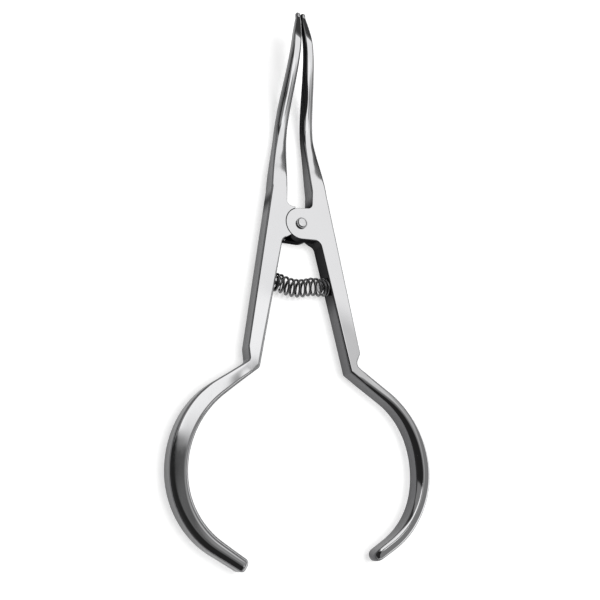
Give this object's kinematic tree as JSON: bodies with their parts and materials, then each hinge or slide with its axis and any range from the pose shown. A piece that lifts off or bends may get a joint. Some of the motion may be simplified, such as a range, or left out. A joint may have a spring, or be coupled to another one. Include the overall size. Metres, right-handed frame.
{
  "type": "separating pliers",
  "caption": "Steel orthodontic pliers with slim forward-bent jaws, round tip knobs, lap joint, return spring and open ring bows; squeezing the bows spreads the tips.",
  "frame": {"origin": "on the rivet's axis, in the plane of the levers' backs", "axes": "+Y towards the tips, +X towards the right lever, +Z out of the front"},
  "size_m": [0.0722, 0.1531, 0.0112],
  "materials": {
    "polished_steel": "polished",
    "rivet_steel": "polished",
    "spring_wire": "drawn wire"
  },
  "bodies": {
    "left_half": {"left_lever": "polished_steel", "pivot_rivet": "rivet_steel", "left_spring_peg": "rivet_steel", "return_spring": "spring_wire"},
    "right_half": {"right_lever": "polished_steel", "right_spring_peg": "rivet_steel"}
  },
  "joints": [
    {"name": "bow_squeeze", "type": "hinge", "parent": "left_half", "child": "right_half", "pos_m": [0, 0, 0.00245], "axis": [0, 0, -1], "range_deg": [0, 18], "stiffness_Nm_per_rad": 0.8, "springref_deg": -10.31, "deforming": ["return_spring"]}
  ]
}
